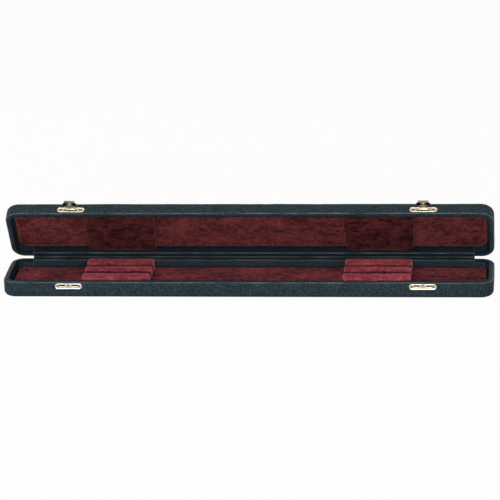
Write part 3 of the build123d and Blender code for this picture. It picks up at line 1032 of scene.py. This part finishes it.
def mark_bends(mesh, fold):
    """Marks a painted highlight on a strip along its four bends and at its two cut ends. Two
    bends are on the base, at the rim and at the fold, and the lid's are those mirrored and
    opened."""
    points = points_of(mesh)
    low = np.array([(CASE["depth"] / 2 - WALL + 0.3, BASE["height"] + 0.05), fold])
    high = opened(in_side_view(low * (1, -1) + (0, 2 * HINGE_Z)))[:, 1:]
    away = np.linalg.norm(points[:, None, 1:] - np.concatenate([low, high]), axis=-1)
    along = bead(away, 0.36).max(1) * (0.70 + 0.65 * soft_waves(points, 22, 83))
    at_end = bead(np.abs(points[:, :1] - STRIP_ENDS).min(1), 0.4)
    # Painted highlight along the bends and at the cut ends.
    mark(mesh, "rubbed", np.clip(0.45 * np.maximum(along, at_end), 0, 1))


grid, fold_start, fold_end = strip_grid()
strip = add_object("hinge_strip", mesh_of("hinge_strip", grid))
mark_bends(strip.data, fold_start)
dress(strip, SHADED_STRIP_SKIN, None,
      ("hinge_strip_base_leaf", "hinge_strip_fold", "hinge_strip_lid_leaf"))
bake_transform(strip)

# %% [markdown]
# The latches are pressed from thin brass sheet. The press leaves a raised border, small
# dishes and beads, and every one of them catches the light, so they're worth having as
# shape and not only as bump. The relief is a height that depends on how far a point
# lies from the border, from a nail or from a slot, and the tarnished places and painted
# shade follow the same distances.

# %% Press marks
SHEET = 0.6
KEEPER = dict(length=25.4, height=5.6, z=11.6, nail=10.0)
LID_PLATE = dict(length=26.0, height=5.8, z=LID_RIM + 4.3)
NOSE_RISE = 1.0
PIN_Y, PIN_Z = FRONT - 1.65, LID_RIM + 3.8
KNUCKLE_AT = 5.45


def from_slot(place, centre, length, height):
    """How far each (x, z) lies outside a slot, below 0 inside: the distance to its middle
    line less half its height."""
    away = place - np.array(centre, float)
    reach = (length - height) / 2
    along = away[..., 0] - np.clip(away[..., 0], -reach, reach)
    return np.hypot(along, away[..., 1]) - height / 2


def keeper_relief(place):
    """Height and dark brown of the keeper's face: a border, two slots, a ring round the nose
    and a dish at each nail. The slots and the nose get painted shade, and each nail a
    darker ring."""
    x, z = np.abs(place[..., 0]), place[..., 1]
    mirrored = np.stack([x, z], -1)
    border = from_slot(place, (0, 0), KEEPER["length"], KEEPER["height"])
    slot = from_slot(mirrored, (6.0, 0.95), 6.4, 1.5)
    cut = 1 - smooth(-0.1, 0.2, slot)
    nose = np.hypot(x, z - NOSE_RISE)
    nail = np.hypot(x - KEEPER["nail"], z)
    height = (0.17 * bead(border + 0.45, 0.32) + 0.12 * bead(slot - 0.4, 0.3) * (cut < 0.5)
              + 0.28 * bead(nose - 1.7, 0.4) - 0.20 * bead(nail, 1.3) - 0.36 * cut)
    # Painted shade in the slots and at the nose, and a darker ring round each nail.
    stain_and_shade = np.maximum(cut, 0.45 * bead(nail - 1.15, 0.35))
    return height, np.maximum(stain_and_shade, np.maximum(0.7 * bead(nose - 1.05, 0.25), bead(nose, 0.6)))


def lid_plate_relief(place):
    """Height and dark brown of the lid plate's face: a border, a dished wing at each end, and
    below each knuckle the window that its strap was cut from. The window gets painted
    shade, and the dished ends and the middle are partly tarnished and partly painted shade."""
    x, z = np.abs(place[..., 0]), place[..., 1]
    mirrored = np.stack([x, z], -1)
    border = from_slot(place, (0, 0), LID_PLATE["length"], LID_PLATE["height"])
    wing = 1 - smooth(-0.5, 0.3, from_slot(mirrored, (9.3, 0.2), 4.6, 2.8))
    hole = np.hypot(x - KNUCKLE_AT, z + 0.95)
    window = 1 - smooth(0.6, 0.9, hole)
    middle = 1 - smooth(-0.6, 0.4, from_slot(place, (0, -0.1), 8.4, 2.8))
    height = (0.24 * bead(border + 0.45, 0.35) - 0.24 * wing + 0.16 * bead(hole - 1.2, 0.3)
              - 0.45 * window - 0.10 * middle)
    # Painted shade in the windows; the dished ends and the middle, under the hasp, are partly
    # tarnished and partly painted shade.
    stain_and_shade = np.maximum(0.70 * wing, 0.66 * middle)
    return height, np.maximum(stain_and_shade, window)


print("plates", KEEPER["length"], "and", LID_PLATE["length"], "mm long")

# %% [markdown]
# A plate's outline is a slot, so the section carrier can lay its points from the border
# to the middle line. It is made flat, raised by its relief, and then set on the front of
# the closed case, where its tarnished places and painted shade are read off the same relief.

# %% Pressed plates
def pressed_plate(length, height, relief):
    """A plate in (x, z) with its back at 0 and its face at the sheet's thickness, raised by
    the relief."""
    reach, lip = height / 2, 0.16
    rows = [(reach - lip, 0, share) for share in (1, 0.5, 0)]
    rows += [(reach, lip, 0), (reach, SHEET - lip, 0), (reach - 0.3 * lip, SHEET - 0.3 * lip, 0)]
    face = len(rows)
    rows += [(reach - lip, SHEET, share) for share in np.linspace(0, 1, 24)]
    grid = carried_round(plan_of(length, height, reach, 0.22), rows)
    grid[face:, :, 2] += relief(grid[face:, :, :2])[0]
    return grid


def on_front(grid, x, z):
    """A plate's (x, z, thickness) brought to the front face, thickness outwards."""
    return np.stack([x + grid[..., 0], FRONT - grid[..., 2], z + grid[..., 1]], -1)


def stained_and_shaded(mesh, x, z, relief):
    """Marks the tarnished places and painted shade of a plate that is on the front face."""
    points = points_of(mesh)
    stain_and_shade = relief(np.stack([points[:, 0] - x, points[:, 2] - z], -1))[1]
    on_face = points[:, 1] < FRONT - 0.02
    # Tarnished places and painted shade, read off the relief.
    mark(mesh, "tarnish", np.clip(stain_and_shade + 0.10 * soft_waves(points, 4, 71), 0, 1) * on_face)


print("sheet", SHEET, "mm thick")

# %% [markdown]
# The keeper carries a small peg, the nose, which the hasp's window drops over. A peg is
# a section carried round a circle, and a circle is a rounded rectangle that is all
# corner, so the same two functions make it.

# %% Keepers
def nose_grid(x):
    """The peg: out along the plate, up its side, over a rounded end with a dent in it."""
    rows = [(0, 0.3, 0), (0.9, 0.3, 0), (0.9, 2.4, 0), (0.82, 2.62, 0), (0.62, 2.78, 0),
            (0.45, 2.8, 0), (0.3, 2.66, 0), (0, 2.6, 0)]
    peg = carried_round(plan_of(1.8, 1.8, 0.9, 0.3), rows)
    return on_front(peg, x, KEEPER["z"] + NOSE_RISE)


for side, x in LATCH_X.items():
    name = f"keeper_brass_{side}"
    plate = pressed_plate(KEEPER["length"], KEEPER["height"], keeper_relief)
    keeper = add_object(name, mesh_of(name, on_front(plate, x, KEEPER["z"]), nose_grid(x)))
    stained_and_shaded(keeper.data, x, KEEPER["z"], keeper_relief)
    dress(keeper, BRASS, "base", (f"keeper_plate_{side}",))

# %% [markdown]
# The plate on the lid has two knuckles that hold the hasp's pin. Each is a little strap
# cut out of the sheet and bent over the pin, and the window that it leaves shows dark
# below it, as painted shade in a shallow dish. A tube would hide that, so the strap is a
# band round the pin.

# %% Lid plates
def strap_grid(x):
    """The band round the pin: outer, middle and inner lines are the pin's centre plus a
    radius at each angle, begun at the plate's face above the pin."""
    angle = np.radians(np.linspace(90, 300, 16))
    around = np.stack([np.cos(angle), np.sin(angle)], 1)
    lines = [np.array([PIN_Y, PIN_Z]) + radius * around for radius in (0.9, 0.675, 0.45)]
    outer, path, inner = (
        np.concatenate([[(FRONT - SHEET / 2, row[0, 1])], row]) for row in lines)
    loop = np.concatenate([outer, inner[::-1]])
    middle = np.concatenate([path, path[::-1]])
    return bar_along(x + np.array([-0.75, -0.70, 0.70, 0.75]), loop, middle, (0.15, 0, 0, 0.15))


for side, x in LATCH_X.items():
    name = f"latch_plate_brass_{side}"
    plate = pressed_plate(LID_PLATE["length"], LID_PLATE["height"], lid_plate_relief)
    straps = [strap_grid(x + place) for place in (-KNUCKLE_AT, KNUCKLE_AT)]
    plate = add_object(name, mesh_of(name, on_front(plate, x, LID_PLATE["z"]), *straps))
    stained_and_shaded(plate.data, x, LID_PLATE["z"], lid_plate_relief)
    put_points(plate.data, opened(points_of(plate.data)))
    dress(plate, AGED_SHADED_BRASS, "lid", (f"latch_plate_{side}",))

# %% [markdown]
# The hasp is an axe-shaped leaf: a barrel round the pin, a narrow neck, and a wide head
# with a window for the nose and a rolled lip for the finger. A leaf with a hole is
# awkward on a square grid. Seen from the window's middle, though, its border is one
# distance for each direction, so the leaf becomes a ring: rows from the window out to
# the border, over the edge, back on the other face and through the hole.

# %% Hasps
TIP, WINDOW_AT, WINDOW = 10.4, 7.5, 1.2
INNER_OUT, MIDDLE_OUT, OUTER_OUT = 0.3, 0.6, 0.9
INNER_ROWS, OUTER_ROWS = 18, 7
HASP_OPEN = rest_opening("hasp_left_swing")


def half_width(down):
    """The hasp's half width at a distance below the pin: root, neck, head and tip, joined
    by even S curves."""
    return (4.3 - 1.4 * smooth(0, 3.2, down) + 3.5 * smooth(3.6, 7.2, down)
            - 1.6 * smooth(8.2, TIP, down))


def border_radius(angle):
    """Distance from the window's middle to the border in each direction, read off points
    that follow the outline."""
    down = np.linspace(0, TIP, 160)
    side = np.stack([half_width(down), down], 1)
    across = np.linspace(-1, 1, 60)[1:-1, None]
    foot = across * (half_width(TIP), 0) + (0, TIP)
    head = across * (half_width(0), 0)
    outline = np.concatenate([side, side * (-1, 1), foot, head]) - (0, WINDOW_AT)
    there = np.arctan2(outline[:, 1], outline[:, 0])
    order = np.argsort(there)
    return np.interp(angle, there[order], np.hypot(*outline.T)[order], period=2 * np.pi)


def leaf_grid():
    """The leaf in (across, down, out from the pin's middle). The inner face, which lies on
    the keeper, has a collar and a turned-up border. The last row closes on the first."""
    angle = np.linspace(-np.pi, np.pi, 181)[:-1]
    border = border_radius(angle)
    share = np.concatenate(
        [np.linspace(0, 1, INNER_ROWS), [1], np.linspace(1, 0, OUTER_ROWS), [0]])
    out = np.repeat([INNER_OUT, MIDDLE_OUT, OUTER_OUT, INNER_OUT], [INNER_ROWS, 1, OUTER_ROWS, 1])
    radius = WINDOW + (border - WINDOW) * share[:, None]
    radius[INNER_ROWS] += 0.12
    grid = np.stack([radius * np.cos(angle), WINDOW_AT + radius * np.sin(angle),
                     np.broadcast_to(out[:, None], radius.shape)], -1)
    raised = 0.38 * bead(radius - 2.0, 0.6) + 0.42 * bead(border - radius, 0.65)
    grid[:INNER_ROWS, :, 2] -= raised[:INNER_ROWS]
    return grid[np.r_[0:len(grid), 0]]


def hasp_stain_and_shade(across, down, out):
    """Dark brown on the inner face, partly tarnished and partly painted shade, away from the
    collar, the border and the neck's root, with painted shade on the head's curled sides
    and the window's wall, and the rolled lip darkened."""
    angle = np.arctan2(down - WINDOW_AT, across)
    radius = np.hypot(across, down - WINDOW_AT)
    clear = np.maximum(bead(radius - 2.0, 0.75), 0.8 * bead(border_radius(angle) - radius, 0.5))
    # Painted shade on the head's curled sides.
    shaded_wings = smooth(3.2, 5.2, np.abs(across)) * smooth(4.5, 6.5, down)
    # Partly tarnished, partly painted shade on the inner face.
    stain_and_shade = (0.62 * smooth(4.2, 6.0, down) + 0.30) * (1 - clear) + 0.75 * shaded_wings
    on_inner_face = (out < 0.5) * (radius < border_radius(angle))
    inner = np.clip(stain_and_shade, 0, 1) * on_inner_face
    # The rolled lip is darkened.
    lip_darkening = 0.8 * smooth(TIP - 1.1, TIP - 0.7, down)
    # Painted shade on the window's wall.
    return np.maximum(np.maximum(inner, lip_darkening), 0.9 * (radius < WINDOW + 0.15))


for side, x in LATCH_X.items():
    name = f"hasp_brass_{side}"
    leaf = leaf_grid()
    leaf = np.stack([x + leaf[..., 0], PIN_Y - leaf[..., 2], PIN_Z - leaf[..., 1]], -1)
    barrel = round_bar(x, half=4.5, centre=(PIN_Y, PIN_Z), radius=0.9, round_end=0.15)
    lip = round_bar(x, half=4.9, centre=(PIN_Y - 1.15, PIN_Z - TIP), radius=0.85, round_end=0.45)
    hasp = add_object(name, mesh_of(name, leaf, barrel, lip))
    points = points_of(hasp.data)
    local = points[:, 0] - x, PIN_Z - points[:, 2], PIN_Y - points[:, 1]
    mark(hasp.data, "tarnish", hasp_stain_and_shade(*local) * (local[1] > 1.2))
    put_points(hasp.data, opened(turned(points, (PIN_Y, PIN_Z), HASP_OPEN)))
    dress(hasp, AGED_SHADED_BRASS, f"hasp_{side}", (f"latch_hasp_{side}",))

# %% [markdown]
# The object stands on a white sweep in a bright tent. The floor is plain white. A share
# of its light is given to the camera as it is, so that the picture's ground stays white
# and still keeps the soft shadow at the case's foot. The world is white to the camera
# and in reflections, and dimmer as a lamp.

# %% Floor and world
GROUND_REACH, GROUND_DROP = 6, 0.0002
GROUND_SHINE, WORLD_LIGHT = 0.96, 0.42


def white_ground():
    """Matt white, mixed for camera rays with a white that shines by itself."""
    material = bpy.data.materials.new("white ground")
    material.use_nodes = True
    tree = material.node_tree
    tree.nodes.remove(tree.nodes["Principled BSDF"])
    seen = node(tree, "ShaderNodeLightPath").outputs["Is Camera Ray"]
    share = times(tree, seen, GROUND_SHINE)
    matt = node(tree, "ShaderNodeBsdfDiffuse", {"Color": (0.86, 0.86, 0.86, 1)}).outputs[0]
    shine = node(tree, "ShaderNodeEmission", {"Color": (1, 1, 1, 1), "Strength": 1.0}).outputs[0]
    blended = node(tree, "ShaderNodeMixShader", {0: share, 1: matt, 2: shine}).outputs[0]
    tree.links.new(blended, tree.nodes["Material Output"].inputs["Surface"])
    return material


mesh = bpy.data.meshes.new("floor")
corners = [(x * GROUND_REACH, y * GROUND_REACH, -GROUND_DROP)
           for x, y in ((-1, -1), (1, -1), (1, 1), (-1, 1))]
mesh.from_pydata(corners, [], [(0, 1, 2, 3)])
ground = add_object("floor", mesh)
ground.data.materials.append(white_ground())

world = bpy.data.worlds.new("tent")
bpy.context.scene.world = world
world.use_nodes = True
tree = world.node_tree
light_path = node(tree, "ShaderNodeLightPath")
seen = worked(tree, "MAXIMUM", light_path.outputs["Is Camera Ray"],
              worked(tree, "MAXIMUM", light_path.outputs["Is Glossy Ray"],
                     light_path.outputs["Is Transmission Ray"]))
strength = node(
    tree, "ShaderNodeMapRange", {"Value": seen, "To Min": WORLD_LIGHT, "To Max": 1.0})
tree.nodes["Background"].inputs["Color"].default_value = (1, 1, 1, 1)
tree.links.new(strength.outputs[0], tree.nodes["Background"].inputs["Strength"])
print("floor", 2 * GROUND_REACH, "m wide")

# %% [markdown]
# Three soft lamps do the rest. A narrow one above draws light lines on the edges, a
# broad one in front fills the walls and the inside of the lid, and a small one lifts
# the left end. An area lamp shines along its own downward axis, so the third column of
# its matrix points away from the case.

# %% Lamps
def soft_lamp(name, place, width, height, watts):
    """An area lamp that looks at the case."""
    lamp = bpy.data.lights.new(name, "AREA")
    lamp.shape, lamp.size, lamp.size_y, lamp.energy = "RECTANGLE", width, height, watts
    made = bpy.data.objects.new(name, lamp)
    bpy.context.collection.objects.link(made)
    spot = np.array(place, float)
    away = spot - (0, 0, 0.03)
    away /= np.linalg.norm(away)
    across = np.cross((0, 1, 0) if abs(away[1]) < 0.9 else (0, 0, 1), away)
    across /= np.linalg.norm(across)
    turn = np.eye(4)
    turn[:3, 0], turn[:3, 1], turn[:3, 2], turn[:3, 3] = across, np.cross(away, across), away, spot
    made.matrix_world = turn.T
    print(name, "at", place)


soft_lamp("tent top", (0.0, -0.48, 1.15), 1.3, 0.08, 2.6)
soft_lamp("tent front", (0.1, -1.65, 0.45), 1.2, 0.6, 16.5)
soft_lamp("tent left", (-0.9, -0.1, 1.05), 0.25, 0.25, 1.8)

# %% [markdown]
# The view transform stays plain, so that a colour renders as it is written.

# %% Finish
bpy.context.scene.view_settings.view_transform = "Standard"
